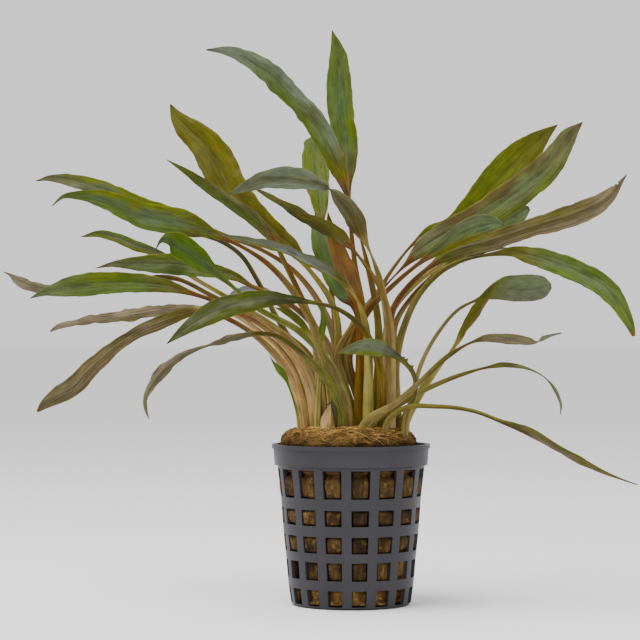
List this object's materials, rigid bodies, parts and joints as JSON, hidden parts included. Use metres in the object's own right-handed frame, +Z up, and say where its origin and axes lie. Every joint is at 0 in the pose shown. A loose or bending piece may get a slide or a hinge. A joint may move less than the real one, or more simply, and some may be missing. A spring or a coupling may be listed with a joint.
{
  "type": "potted cryptocoryne",
  "caption": "Rosette water plant with long narrow leaves, rooted in mineral wool in a small round net pot that stands on its flat base.",
  "frame": {"origin": "centre of the net pot's flat underside, where it stands", "axes": "+Z up along the pot's axis, -Y is the plant's front, +X along its widest spread of leaves"},
  "size_m": [0.2129, 0.1462, 0.1946],
  "materials": {
    "pot_plastic": "satin moulded grey-black plastic",
    "mineral_wool": "fibrous golden-brown mineral wool",
    "leaf_green": "green leaf, satin",
    "leaf_grey_green": "grey-green leaf, satin",
    "leaf_olive": "olive-yellow leaf, satin",
    "leaf_brown": "brown to pinkish leaf, satin"
  },
  "bodies": {
    "root": {"net_pot": "pot_plastic", "wool_plug": "mineral_wool", "leaf_top": "leaf_green", "leaf_arch_left": "leaf_grey_green", "leaf_far_rounded": "leaf_green", "leaf_blue_green": "leaf_green", "leaf_olive_strip": "leaf_olive", "leaf_red_brown": "leaf_brown", "leaf_front_twist": "leaf_grey_green", "leaf_broad_yellow": "leaf_olive", "leaf_before_broad": "leaf_green", "leaf_slate_strip": "leaf_grey_green", "leaf_long_teal": "leaf_green", "leaf_behind_teal": "leaf_grey_green", "leaf_under_teal": "leaf_green", "leaf_left_small_arch": "leaf_olive", "leaf_dark_green": "leaf_green", "leaf_bright_green": "leaf_green", "leaf_left_level": "leaf_green", "leaf_far_left": "leaf_brown", "leaf_lilac_back": "leaf_grey_green", "leaf_pinkish_low": "leaf_brown", "leaf_long_brown": "leaf_brown", "leaf_front_grey": "leaf_grey_green", "leaf_curled_left": "leaf_brown", "leaf_small_green": "leaf_green", "leaf_front_blue": "leaf_grey_green", "leaf_right_bright": "leaf_olive", "leaf_right_grey": "leaf_grey_green", "leaf_right_blue": "leaf_green", "leaf_right_arc": "leaf_grey_green", "leaf_right_long": "leaf_olive", "leaf_right_dark": "leaf_olive", "leaf_right_green": "leaf_green", "leaf_round_end": "leaf_grey_green", "leaf_olive_edge": "leaf_olive", "leaf_twisted_tip": "leaf_green", "leaf_hooked_tip": "leaf_grey_green", "leaf_low_right": "leaf_brown", "leaf_new_green": "leaf_green", "leaf_centre_green": "leaf_green", "leaf_pink_sheath": "leaf_brown", "leaf_small_dark": "leaf_brown"}
  },
  "joints": []
}
